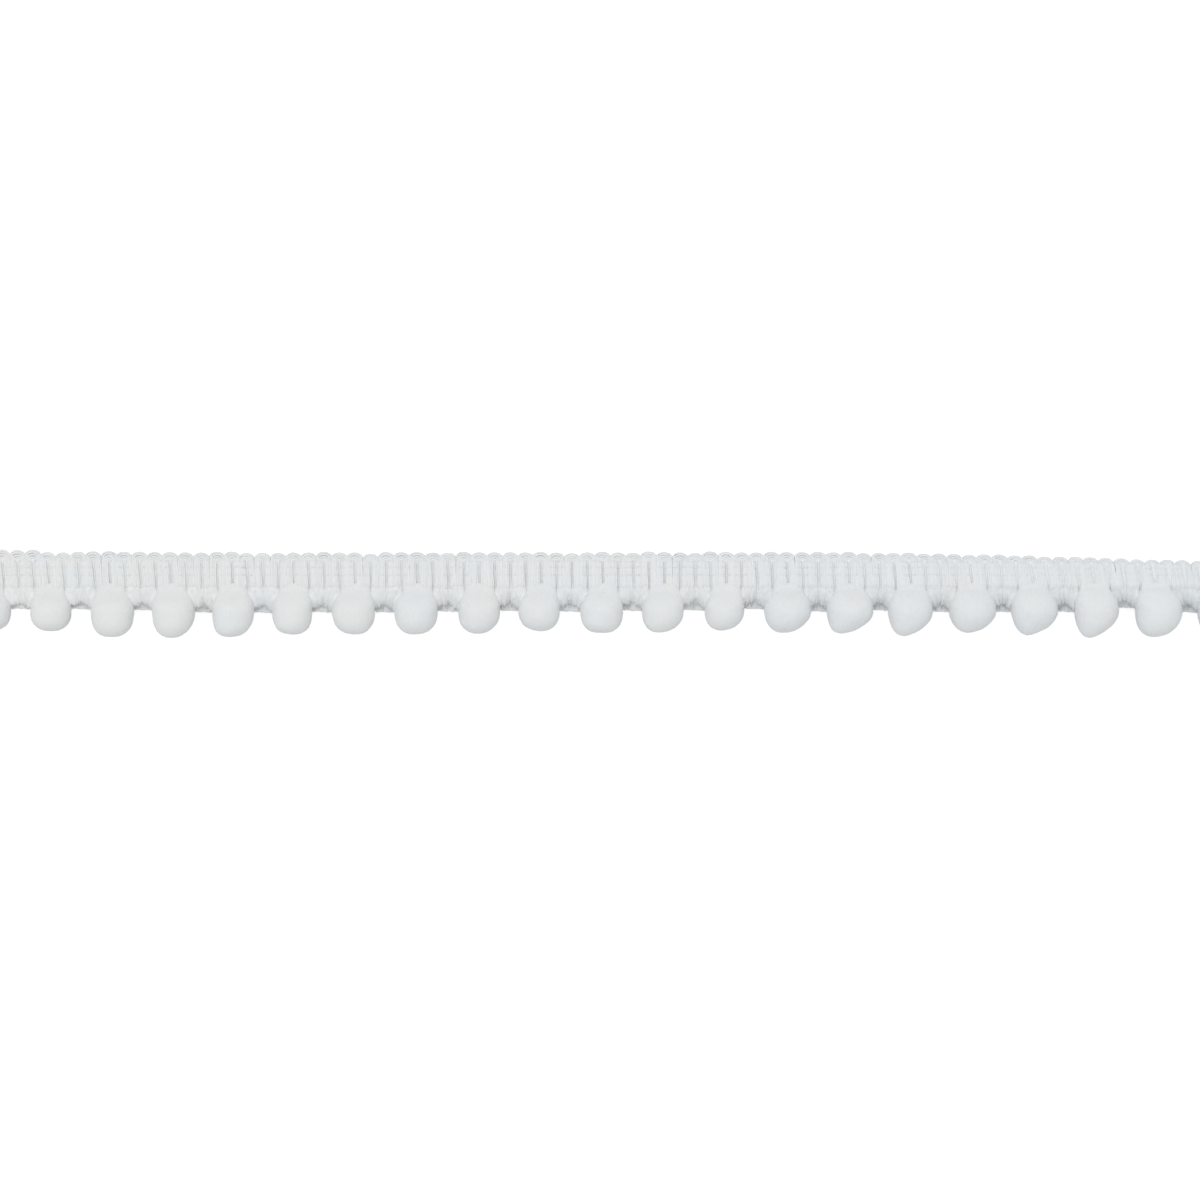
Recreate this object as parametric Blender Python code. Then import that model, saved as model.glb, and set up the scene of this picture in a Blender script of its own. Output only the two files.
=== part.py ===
"""Pompom fringe trim: a ribbed braid with a looped edge, and a row of clipped pompoms.

Lengths are metres. X runs along the trim, Y across it from the pompoms to the looped edge,
and Z is up. The trim lies on z = 0 on its pompoms and on the tips of its loops. While it is
built, y = 0 is the root line, where the pompoms leave the braid; at the end the whole trim
is moved so that the middle of its bounding box's floor is the origin.
"""

import math

import bmesh
import bpy
import numpy as np

MM = 0.001

# Repeat along the trim
POMPOM_COUNT = 21
RIBS_PER_POMPOM = 4
POMPOM_PITCH = 7.36 * MM
RIB_PITCH = POMPOM_PITCH / RIBS_PER_POMPOM
TRIM_LENGTH = POMPOM_COUNT * POMPOM_PITCH

# Braid, measured up the face from the root line
SEAM_GAP = 0.3 * MM         # clear gap between the braid and the pompoms' strip
RIB_LENGTH = 2.78 * MM      # root line to the row of stitches under the loops
WEB_FACE = 0.12 * MM        # face of the web at the bottom of a groove, over the middle plane
RIB_CROWN = 0.50 * MM       # how far a rib stands over the web
LOOP_FACE = 0.15 * MM       # face of the loops at a notch, over the middle plane
LOOP_CROWN = 0.34 * MM      # how far a loop's back stands over the notches
LOOP_NOTCH = 0.33           # share of a loop's length that the notch beside it takes
BACK = 0.50 * MM            # flat back, under the middle plane
EDGE_BACK = 0.25 * MM       # back at the tips of the loops
PRESSED = 0.10 * MM         # how far the loops' tips are pressed into the floor
LOOP_FLAT = 0.20 * MM       # what the loops have lower than this lies flat on the floor

# Rows of points on the braid's face, from the root line up: place along the ribs,
# place along the loops, and the shares of the rib's and the loop's crowns there
BRAID_COLUMNS = ("rib_mm", "loop_share", "rib_crown", "loop_crown")
BRAID_ROWS = (
    (0.15, 0.0, 0.85, 0.0),
    (1.40, 0.0, 1.00, 0.0),
    (2.62, 0.0, 0.80, 0.0),
    (2.78, 0.35, 0.00, 0.9),
    (2.78, 0.75, 0.00, 1.0),
    (2.78, 1.00, 0.00, 0.3),
)

# How the trim lies along its length: the slope of the ribs down to the floor, the further
# curl of the loops, how far the tops of the ribs lean towards -X, the loops' length, and
# how far the ribs are out of their even spacing
LIE_COLUMNS = ("x_mm", "roll_deg", "curl_deg", "lean_mm", "loop_mm", "drift_mm")
LIE_ROWS = (
    (-78, 11, 12, 0.30, 1.55, -0.05),
    (-64, 13, 24, 0.33, 1.25, -0.18),
    (-30, 17, 28, 0.14, 1.20, -0.15),
    (-12, 19, 24, 0.12, 1.28, 0.13),
    (12, 19, 24, 0.00, 1.28, 0.26),
    (30, 24, 20, 0.03, 1.42, 0.38),
    (45, 29, 23, 0.12, 1.30, 0.30),
    (54, 33, 24, 0.15, 1.20, 0.25),
    (67, 39, 40, 0.05, 0.92, 0.20),
    (78, 46, 44, 0.00, 0.82, 0.12),
)
LIE_EASE = 3.0 * MM         # half the length over which one row eases into the next

# Strip that carries the pompoms, measured down from the root line
BAND_END = 0.80 * MM        # lower edge of the band that the pompoms' roots are fused in
BAND_BACK_END = 0.45 * MM   # the same edge on the band's back
BAND_FACE = 0.55 * MM
BAND_ROUND = 0.08 * MM      # how far the band's lower edge is rounded out
TUFT_BACK = 0.30 * MM       # back of the tufts, under the middle plane
NECK_GROOVE = 0.35          # rib share left in the groove between a pompom's two ribs
FLAP_START = 0.60 * MM      # thin flaps behind the pompoms: inside the band
FLAP_FACE = 1.10 * MM       # height of a flap's lower edge over the floor
FLAP_THICK = 0.50 * MM
TUCK = 0.10 * MM            # how far a flap reaches in under a pompom's side

# Between two pompoms: one rib ends in a short straight tuft, the next leans over as a lobe
# against the next pompom. Place is -1 at the first pompom's roots, 0 and 1 at the two
# pompoms' sides and 2 at the next roots; rib is 0 in a groove and 1 on a rib; then come
# where the tuft ends below the root line, and how far its face is over the middle plane
TUFT_COLUMNS = ("place", "rib", "tuft_mm", "face_mm")
TUFT_ROWS = (
    (-0.5, 0.7, 1.50, 0.30),
    (0.0, 1.0, 1.80, 0.40),
    (0.3, 0.8, 1.85, 0.40),
    (0.5, 0.1, 1.35, 0.20),
    (0.7, 0.8, 2.05, 0.40),
    (1.0, 1.0, 2.65, 0.36),
    (1.5, 0.7, 2.00, 0.30),
)

# Pompoms
NECK_HALF_WIDTH = 1.58 * MM
NECK_HALF_HEIGHT = 0.36 * MM
NECK_START = 0.62 * MM      # inside the band
WIDEST = 3.36 * MM          # how far below the root line a pompom is widest
FLARE_START = 0.60 * MM
FLARE_END = 2.75 * MM
HEIGHT_SHARE = 0.95         # height over width
FLAT_SPOT = 0.30 * MM       # what lies lower than this is pressed flat on the floor
NECK_SQUARENESS = 3.0
ROUND = 2.0
UPPER_RINGS = (0.0, 0.18, 0.42, 0.70, 1.0)
LOWER_RINGS = (0.32, 0.62, 0.85, 0.985)
SEGMENTS = 14

# One row for each pompom: its middle against even spacing, its width, how far it hangs
# below the root line, its lowest point against its middle, how full its lower half is,
# and where the thin flap on its +X side ends below the root line
POMPOM_COLUMNS = ("shift_mm", "width_mm", "hang_mm", "tip_mm", "fullness", "flap_mm")
POMPOM_ROWS = (
    (0.25, 4.90, 5.7, 0.00, 2.2, 3.0),
    (0.11, 4.95, 5.7, 0.00, 2.4, 3.0),
    (0.18, 5.20, 6.4, -0.15, 2.5, 3.1),
    (0.14, 5.20, 6.5, -0.30, 2.2, 3.4),
    (-0.07, 5.05, 6.4, -0.40, 2.5, 3.45),
    (-0.35, 4.85, 6.1, 0.00, 2.6, 3.4),
    (-0.34, 5.20, 6.1, 0.10, 2.3, 3.4),
    (-0.19, 5.25, 6.1, -0.10, 2.3, 3.3),
    (0.00, 5.05, 6.0, -0.20, 2.2, 3.25),
    (-0.16, 5.05, 5.7, 0.20, 2.2, 3.3),
    (0.00, 5.15, 5.9, 0.00, 2.6, 3.2),
    (0.00, 5.05, 5.9, -0.45, 2.1, 3.15),
    (0.02, 4.80, 5.6, -0.35, 2.1, 3.0),
    (0.23, 5.65, 5.9, -0.50, 1.95, 3.3),
    (0.37, 5.60, 6.0, -1.10, 1.85, 3.15),
    (0.26, 5.40, 6.3, -0.80, 1.8, 3.35),
    (0.35, 5.65, 5.9, -0.55, 1.85, 3.35),
    (0.43, 5.65, 6.2, -0.80, 1.7, 3.35),
    (0.52, 5.40, 6.5, -0.90, 1.7, 2.85),
    (0.59, 5.65, 6.4, -0.50, 2.1, 3.4),
    (0.62, 5.50, 6.2, -0.50, 2.0, 3.3),
)

WHITE_YARN = (0.84, 0.85, 0.86, 1.0)


def named(columns, rows):
    """The rows of a table, each with its values by name."""
    return [dict(zip(columns, row)) for row in rows]


def column(columns, rows, name):
    """One named column of a table, as an array."""
    place = columns.index(name)
    return np.array([row[place] for row in rows], dtype=float)


def lie(name, x):
    """A column of the lie table at x, eased from row to row."""
    places = column(LIE_COLUMNS, LIE_ROWS, "x_mm") * MM
    values = column(LIE_COLUMNS, LIE_ROWS, name)
    around = x + LIE_EASE * np.linspace(-1.0, 1.0, 5)
    return float(np.mean(np.interp(around, places, values)))


def drifted(x):
    """The place along the trim of what an even spacing would have at x."""
    return x + lie("drift_mm", x) * MM


def ease(share):
    """Smooth step from 0 to 1."""
    share = min(max(share, 0.0), 1.0)
    return share * share * (3.0 - 2.0 * share)


def mix(start, end, share):
    """The value this share of the way from start to end."""
    return start + (end - start) * share


def drop_to(x, distance):
    """Slope, y and fall of the middle plane, this far up the braid from the root line."""
    roll = math.radians(lie("roll_deg", x))
    curl = math.radians(lie("curl_deg", x))
    loop = lie("loop_mm", x) * MM
    straight = min(distance, RIB_LENGTH)
    y = straight * math.cos(roll)
    fall = straight * math.sin(roll)
    if distance <= RIB_LENGTH:
        return roll, y, fall
    radius = loop / curl
    slope = roll + (distance - RIB_LENGTH) / radius
    y += radius * (math.sin(slope) - math.sin(roll))
    fall += radius * (math.cos(roll) - math.cos(slope))
    return slope, y, fall


def root_height(x):
    """Height of the middle plane at the root line, with the loops' tips on the floor."""
    slope, _, fall = drop_to(x, RIB_LENGTH + lie("loop_mm", x) * MM)
    return fall + EDGE_BACK * math.cos(slope) - PRESSED


def on_braid(x, distance, offset):
    """A point up the braid from the root line, offset from the middle plane to the face."""
    slope, y, fall = drop_to(x, distance)
    lean = lie("lean_mm", x) * MM * max(distance, 0.0) / RIB_LENGTH
    z = root_height(x) - fall + offset * math.cos(slope)
    return (drifted(x) - lean, y + offset * math.sin(slope), 0.0 if z < LOOP_FLAT else z)


def loft(name, bodies, material):
    """A piece of closed bodies, each one through rings of points and closed at its ends."""
    mesh = bpy.data.meshes.new(name)
    model = bmesh.new()
    for rings in bodies:
        grid = [[model.verts.new(point) for point in ring] for ring in rings]
        for ring, following in zip(grid, grid[1:]):
            for i, corner in enumerate(ring):
                j = (i + 1) % len(ring)
                model.faces.new((corner, ring[j], following[j], following[i]))
        model.faces.new(grid[0])
        model.faces.new(grid[-1])
    bmesh.ops.triangulate(model, faces=model.faces[:])
    bmesh.ops.recalc_face_normals(model, faces=model.faces[:])
    model.to_mesh(mesh)
    model.free()
    mesh.materials.append(material)
    piece = bpy.data.objects.new(name, mesh)
    bpy.context.scene.collection.objects.link(piece)
    return piece


def yarn_material(name, roughness):
    """White matte yarn."""
    material = bpy.data.materials.new(name)
    material.use_nodes = True
    shader = material.node_tree.nodes["Principled BSDF"]
    shader.inputs["Base Color"].default_value = WHITE_YARN
    shader.inputs["Roughness"].default_value = roughness
    shader.inputs["Metallic"].default_value = 0.0
    material.diffuse_color = WHITE_YARN
    return material


def rib_face(share):
    """Face of a rib over the middle plane; share is 0 in a groove and 1 on the crown."""
    return WEB_FACE + RIB_CROWN * math.sqrt(share)


def braid_section(x, across_rib):
    """Ring of points around the braid at x; across_rib is 0 in a groove, 0.5 on a rib."""
    on_rib = math.sin(math.pi * across_rib)
    on_loop = abs(math.cos(math.pi * across_rib))
    off_crest = 2.0 * min(across_rib, 1.0 - across_rib)
    notch = LOOP_NOTCH * (1.0 - math.sqrt(1.0 - off_crest ** 2))
    loop = lie("loop_mm", x) * MM * (1.0 - notch)
    ring = []
    for row in named(BRAID_COLUMNS, BRAID_ROWS):
        looped = LOOP_FACE + LOOP_CROWN * row["loop_crown"] * on_loop
        face = looped if row["loop_share"] > 0.0 else rib_face(row["rib_crown"] * on_rib)
        ring.append(on_braid(x, row["rib_mm"] * MM + row["loop_share"] * loop, face))
    ring.append(on_braid(x, RIB_LENGTH + 0.97 * loop, -EDGE_BACK))
    ring.append(on_braid(x, RIB_LENGTH + 0.70 * loop, -EDGE_BACK))
    ring.append(on_braid(x, RIB_LENGTH, -BACK))
    ring.append(on_braid(x, 0.5 * SEAM_GAP, -BACK))
    return ring


def make_heading():
    """The ribbed braid, a ring of points for each groove, crown and flank of a rib."""
    steps = 4 * RIBS_PER_POMPOM * POMPOM_COUNT
    rings = []
    for step in range(steps + 1):
        x = -0.5 * TRIM_LENGTH + step * 0.25 * RIB_PITCH
        rings.append(braid_section(x, (step % 4) / 4.0))
    return loft("heading", [rings], yarn_material("braid_yarn", 0.9))


def pompom(index):
    """Sizes of one pompom, in metres, with its roots and its middle before they drift."""
    values = named(POMPOM_COLUMNS, POMPOM_ROWS)[index]
    roots = (index - 0.5 * (POMPOM_COUNT - 1)) * POMPOM_PITCH
    drift = lie("drift_mm", roots) * MM
    return {
        "roots": roots,
        "middle": roots + values["shift_mm"] * MM - drift,
        "drift": drift,
        "half_width": 0.5 * values["width_mm"] * MM,
        "hang": values["hang_mm"] * MM,
        "tip": values["tip_mm"] * MM,
        "fullness": values["fullness"],
        "flap": values["flap_mm"] * MM,
    }


def pompom_ring(centre, half_width, half_height, squareness=ROUND, slope=0.0):
    """One ring around a pompom, pressed flat where it meets the floor.

    The ring is upright when slope is 0, and leans as the braid does at the roots.
    """
    power = 2.0 / squareness
    ring = []
    for segment in range(SEGMENTS):
        turn = 2.0 * math.pi * (segment + 0.5) / SEGMENTS
        side = half_width * math.copysign(abs(math.sin(turn)) ** power, math.sin(turn))
        rise = half_height * math.copysign(abs(math.cos(turn)) ** power, math.cos(turn))
        z = centre[2] + rise * math.cos(slope)
        z = 0.0 if z < FLAT_SPOT else z
        ring.append((centre[0] + side, centre[1] + rise * math.sin(slope), z))
    return ring


def pompom_rings(size):
    """Rings of a pompom that swells out of two ribs to a ball."""
    half_height = HEIGHT_SHARE * size["half_width"]
    _, start_y, start_z = on_braid(size["roots"], -NECK_START, 0.0)
    roll = math.radians(lie("roll_deg", size["roots"]))
    rings = []
    for share in UPPER_RINGS:
        swell = ease(share)
        y = start_y - share * (WIDEST + start_y)
        flare = ease((-y - FLARE_START) / (FLARE_END - FLARE_START))
        rings.append(pompom_ring(
            (
                mix(size["roots"], size["middle"], swell) + size["drift"],
                y,
                mix(start_z, half_height, swell),
            ),
            mix(NECK_HALF_WIDTH, size["half_width"], flare),
            mix(NECK_HALF_HEIGHT, half_height, swell),
            mix(NECK_SQUARENESS, ROUND, swell),
            mix(roll, 0.0, swell),
        ))
    for share in LOWER_RINGS:
        closing = (1.0 - share ** size["fullness"]) ** (1.0 / size["fullness"])
        centre = (
            size["middle"] + size["drift"] + size["tip"] * share ** 2,
            mix(-WIDEST, -size["hang"], share),
            half_height,
        )
        rings.append(pompom_ring(centre, size["half_width"] * closing, half_height * closing))
    return rings


def strip_section(x, rib, tuft_end=0.0, tuft_face=0.0):
    """Ring of points around the pompoms' strip at x, with its tuft."""
    face = min(rib_face(rib), BAND_FACE)
    band_top = on_braid(x, -BAND_END, face)
    band_back = on_braid(x, -BAND_BACK_END, -BACK)
    if tuft_end == 0.0:
        wall = []
        for share in (0.25, 0.5, 0.75):
            y = mix(band_top[1], band_back[1], share) - BAND_ROUND * math.sin(math.pi * share)
            wall.append((drifted(x), y, mix(band_top[2], band_back[2], share)))
    else:
        root_z = root_height(x)
        end_z = mix(root_z, FLAP_FACE, tuft_end / WIDEST)
        wall = [
            (drifted(x), -0.75 * tuft_end, max(root_z, end_z) + tuft_face),
            (drifted(x), -tuft_end, end_z),
            (drifted(x), -0.85 * tuft_end, end_z - TUFT_BACK),
        ]
    return [
        on_braid(x, -0.5 * SEAM_GAP, face),
        band_top,
        *wall,
        band_back,
        on_braid(x, -0.5 * SEAM_GAP, -BACK),
    ]


def sides_between(here, following):
    """Ends of a pompom's roots and side and of the next one's, before they drift."""
    return (
        here["roots"] + RIB_PITCH,
        here["middle"] + here["half_width"] - TUCK,
        following["middle"] - following["half_width"] + TUCK,
        following["roots"] - RIB_PITCH,
    )


def make_strip(pompoms, material):
    """The band along the roots, two ribs to a pompom and two to the tufts beside it."""
    half_rib = 0.5 * RIB_PITCH
    sections = [strip_section(-0.5 * TRIM_LENGTH, 0.0)]
    for here, following in zip(pompoms, (*pompoms[1:], None)):
        if here is pompoms[0]:
            sections.append(strip_section(here["roots"] - RIB_PITCH, 0.0))
        sections.append(strip_section(here["roots"] - half_rib, 1.0))
        sections.append(strip_section(here["roots"], NECK_GROOVE))
        sections.append(strip_section(here["roots"] + half_rib, 1.0))
        sections.append(strip_section(here["roots"] + RIB_PITCH, 0.0))
        if following:
            sides = sides_between(here, following)
            for row in named(TUFT_COLUMNS, TUFT_ROWS):
                x = float(np.interp(row["place"], (-1.0, 0.0, 1.0, 2.0), sides))
                sections.append(strip_section(
                    x, row["rib"], row["tuft_mm"] * MM, row["face_mm"] * MM,
                ))
            sections.append(strip_section(sides[-1], 0.0))
    sections.append(strip_section(0.5 * TRIM_LENGTH, 0.0))
    return loft("pompom_row", [sections], material)


def flap_rings(here, following):
    """Rings of the thin flap between two pompoms, from inside the band to its edge."""
    _, left, right, _ = sides_between(here, following)
    rings = []
    for share in (0.0, 1.0):
        corners = []
        for x, offset in ((left, 1.0), (right, 1.0), (right, -1.0), (left, -1.0)):
            _, start_y, start_z = on_braid(x, -FLAP_START, 0.0)
            z = mix(start_z, FLAP_FACE - 0.5 * FLAP_THICK, share)
            y = mix(start_y, -here["flap"], share)
            thick = FLAP_THICK * mix(0.5, 1.0, share)
            corners.append((drifted(x), y, z + 0.5 * thick * offset))
        rings.append(corners)
    return rings


def fuse(piece, name, bodies, material):
    """Fuse closed bodies into a piece."""
    added = loft(name, bodies, material)
    added.parent = piece
    added.hide_render = True
    added.display_type = "WIRE"
    union = piece.modifiers.new(name, "BOOLEAN")
    union.operation = "UNION"
    union.solver = "EXACT"
    union.object = added


def make_pompom_row():
    """Pompoms and the flaps between them, with their roots fused in the strip."""
    material = yarn_material("pompom_yarn", 0.95)
    pompoms = [pompom(index) for index in range(POMPOM_COUNT)]
    row = make_strip(pompoms, material)
    flaps = [flap_rings(*pair) for pair in zip(pompoms, pompoms[1:])]
    fuse(row, "flaps", flaps, material)
    fuse(row, "pompoms", [pompom_rings(size) for size in pompoms], material)
    return row


def put_on_origin(pieces):
    """Move the trim so that the middle of its box's floor is the origin."""
    depsgraph = bpy.context.evaluated_depsgraph_get()
    corners = []
    for piece in pieces:
        corners.extend(tuple(corner) for corner in piece.evaluated_get(depsgraph).bound_box)
    low = np.min(corners, axis=0)
    high = np.max(corners, axis=0)
    for piece in pieces:
        piece.location = (-0.5 * (low[0] + high[0]), -0.5 * (low[1] + high[1]), -low[2])


def main():
    for leftover in list(bpy.data.objects):
        bpy.data.objects.remove(leftover, do_unlink=True)
    heading = make_heading()
    row = make_pompom_row()
    put_on_origin((heading, row))


main()
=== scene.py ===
import bmesh
import bpy
import numpy as np
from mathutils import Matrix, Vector, noise


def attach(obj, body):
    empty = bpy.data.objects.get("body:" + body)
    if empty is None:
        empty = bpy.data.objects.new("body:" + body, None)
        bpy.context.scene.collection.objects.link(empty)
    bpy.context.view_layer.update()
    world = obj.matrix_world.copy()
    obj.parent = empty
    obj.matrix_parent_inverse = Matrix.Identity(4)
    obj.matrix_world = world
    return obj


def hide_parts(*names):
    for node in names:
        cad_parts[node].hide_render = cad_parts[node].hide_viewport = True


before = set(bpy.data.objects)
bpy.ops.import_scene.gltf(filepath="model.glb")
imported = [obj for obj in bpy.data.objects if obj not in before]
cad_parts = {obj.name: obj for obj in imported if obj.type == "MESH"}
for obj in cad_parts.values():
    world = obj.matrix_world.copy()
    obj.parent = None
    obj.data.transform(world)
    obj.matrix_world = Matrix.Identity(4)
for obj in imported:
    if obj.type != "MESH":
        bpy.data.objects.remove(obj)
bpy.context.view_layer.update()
mm = 0.001
print("frame loaded:", ", ".join(sorted(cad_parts)))

# The trim, in metres: x runs along it, y across it from pompoms to loops and z up.
# Points are worked out from the middle of the root line, where the pompoms leave the braid.
trim = {
    "pompoms": 21,
    "ribsPerPompom": 4,
    "ribPitch": 1.84 * mm,
    "rootMiddle": (0.2006 * mm, 1.0881 * mm, 0.0),
    "ribLength": 2.78 * mm,  # root line to the stitches under the loops
    "webFace": 0.12 * mm,  # the braid's middle plane to its face in a groove
    "ribCrown": 0.50 * mm,  # a rib's crown over that
    "loopFace": 0.15 * mm,  # the same two for the loops
    "loopCrown": 0.34 * mm,
    "back": 0.50 * mm,  # the middle plane to the flat back
    "edgeBack": 0.25 * mm,  # and to the back at the loops' tips
    "pressed": 0.10 * mm,  # how much the floor flattens the loops' tips
    "bendOver": 0.8 * mm,  # how soon past the root line the ribs have bent level
    "bendMost": 0.6,  # and how much of their slope they have lost after that
    "lieEase": 3.0 * mm,  # how far each way its values are evened out
    "lieSteps": 5,
    "seed": 11,
}
trim["ribs"] = trim["pompoms"] * trim["ribsPerPompom"]
trim["length"] = trim["ribs"] * trim["ribPitch"]
trim["pompomPitch"] = trim["ribsPerPompom"] * trim["ribPitch"]
chance = np.random.default_rng(trim["seed"])

# How the trim lies along x: the ribs' slope down to the floor, the further curl of the loops,
# the ribs' lean towards -x at their tops, the loops' length, and how far the ribs have crept
# out of even spacing
lieColumns = ("x mm", "roll deg", "curl deg", "lean mm", "loop mm", "drift mm")
lieRows = np.array((
    (-78, 11, 12, 0.30, 1.55, -0.05),
    (-64, 13, 24, 0.33, 1.25, -0.18),
    (-30, 17, 28, 0.14, 1.20, -0.15),
    (-12, 19, 24, 0.12, 1.28, 0.13),
    (12, 19, 24, 0.00, 1.28, 0.26),
    (30, 24, 20, 0.03, 1.42, 0.38),
    (45, 29, 23, 0.12, 1.30, 0.30),
    (54, 33, 24, 0.15, 1.20, 0.25),
    (67, 39, 40, 0.05, 0.92, 0.20),
    (78, 46, 44, 0.00, 0.82, 0.12),
))


def lie(name, x):
    # one column of the table at x, eased from row to row
    steps = trim["lieEase"] * np.linspace(-1, 1, trim["lieSteps"])
    places = np.asarray(x, float)[..., None] + steps
    values = np.interp(places / mm, lieRows[:, 0], lieRows[:, lieColumns.index(name)])
    values = values.mean(axis=-1)
    return np.radians(values) if name.endswith("deg") else values * mm


def rootHeight(x):
    # the middle plane's height at the root line, with the loops' tips on the floor
    roll = lie("roll deg", x)
    tip = roll + lie("curl deg", x)
    radius = lie("loop mm", x) / lie("curl deg", x)
    fall = trim["ribLength"] * np.sin(roll) + radius * (np.cos(roll) - np.cos(tip))
    return fall + trim["edgeBack"] * np.cos(tip) - trim["pressed"]


def layOn(x, up, out):
    # points this far up the braid from the root line, and out of its middle plane
    x, up, out = np.broadcast_arrays(x, up, out)
    roll = lie("roll deg", x)
    radius = lie("loop mm", x) / lie("curl deg", x)
    straight = np.minimum(up, trim["ribLength"])
    slope = roll + np.maximum(up - trim["ribLength"], 0) / radius
    y = straight * np.cos(roll) + radius * (np.sin(slope) - np.sin(roll))
    fall = straight * np.sin(roll) + radius * (np.cos(roll) - np.cos(slope))
    past = np.maximum(-up, 0)
    bend = np.minimum(past / (2 * trim["bendOver"]), trim["bendMost"])
    fall = fall + past * bend * np.sin(roll)
    lean = lie("lean mm", x) * np.maximum(up, 0) / trim["ribLength"]
    z = rootHeight(x) - fall + out * np.cos(slope)
    return np.stack((x + lie("drift mm", x) - lean, y + out * np.sin(slope), z), axis=-1)


def ease(share):
    share = np.clip(share, 0, 1)
    return share * share * (3 - 2 * share)


def mix(start, end, share):
    return start + (end - start) * share


sway = {"slow": 0.6, "quick": 0.4, "quicker": 2.3}  # a strand's two waves


def wander(count, size, waves=2.0):
    # a smooth chance drift along a strand
    turn = np.linspace(0, 2 * np.pi * waves, count)
    slowPhase, quickPhase = chance.uniform(0, 2 * np.pi, 2)
    slow = sway["slow"] * np.sin(turn + slowPhase)
    return size * (slow + sway["quick"] * np.sin(sway["quicker"] * turn + quickPhase))


# helpers for nodes and meshes
def newTree(name, kind, inputs, outputs):
    tree = bpy.data.node_groups.new(name, kind)
    for label, socketType, value in inputs:
        socket = tree.interface.new_socket(label, in_out="INPUT", socket_type=socketType)
        if value is not None:
            socket.default_value = value
    for label, socketType in outputs:
        tree.interface.new_socket(label, in_out="OUTPUT", socket_type=socketType)
    return tree, tree.nodes.new("NodeGroupInput"), tree.nodes.new("NodeGroupOutput")


def addNode(tree, kind, sockets=None, **settings):
    node = tree.nodes.new(kind)
    for name, value in settings.items():
        setattr(node, name, value)
    for key, value in (sockets or {}).items():
        if isinstance(value, bpy.types.NodeSocket):
            tree.links.new(value, node.inputs[key])
        else:
            node.inputs[key].default_value = value
    return node


def addMath(tree, operation, *values):
    return addNode(tree, "ShaderNodeMath", dict(enumerate(values)), operation=operation).outputs[0]


def grow(piece, tree, values):
    # runs a geometry tree on the piece and keeps the result as its plain mesh
    modifier = piece.modifiers.new(tree.name, "NODES")
    modifier.node_group = tree
    for socket in tree.interface.items_tree:
        if socket.in_out == "INPUT" and socket.name in values:
            modifier[socket.identifier] = values[socket.name]
    depsgraph = bpy.context.evaluated_depsgraph_get()
    grown = bpy.data.meshes.new_from_object(piece.evaluated_get(depsgraph))
    piece.modifiers.remove(modifier)
    piece.data = grown
    grown.name = piece.name
    print(f"  {piece.name}: {sum(len(face.vertices) - 2 for face in grown.polygons)} triangles")
    return piece


def addToScene(name, data):
    thing = bpy.data.objects.new(name, data)
    bpy.context.scene.collection.objects.link(thing)
    return thing


def newPiece(name, points, edges=(), faces=()):
    mesh = bpy.data.meshes.new(name)
    mesh.from_pydata([tuple(point) for point in points], list(edges), list(faces))
    return addToScene(name, mesh)


def keepNumbers(mesh, label, values):
    # one number for each point, for node trees and finishes
    data = mesh.attributes.new(label, "FLOAT", "POINT").data
    data.foreach_set("value", np.array(values, np.float32))


def keepVectors(mesh, label, values):
    data = mesh.attributes.new(label, "FLOAT_VECTOR", "POINT").data
    data.foreach_set("vector", np.array(values, np.float32).ravel())


poleSize = 1e-9  # a ring smaller than this is one point


def loft(name, bodies, material):
    # closed bodies, each through rings of points; a ring of one place closes as a pole
    model = bmesh.new()
    for rings in bodies:
        grid = []
        for ring in rings:
            if np.ptp(ring, axis=0).max() < poleSize:
                grid.append([model.verts.new(ring[0])])
            else:
                grid.append([model.verts.new(point) for point in ring])
        for ring, following in zip(grid, grid[1:]):
            count = max(len(ring), len(following))
            for i in range(count):
                j = (i + 1) % count
                if len(following) == 1:
                    model.faces.new((ring[i], ring[j], following[0]))
                else:
                    model.faces.new((ring[i], ring[j], following[j], following[i]))
        for ring in (grid[0], grid[-1]):
            if len(ring) > 2:
                model.faces.new(ring)
    bmesh.ops.recalc_face_normals(model, faces=model.faces[:])
    mesh = bpy.data.meshes.new(name)
    model.to_mesh(mesh)
    model.free()
    mesh.shade_smooth()
    mesh.materials.append(material)
    return addToScene(name, mesh)


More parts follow.
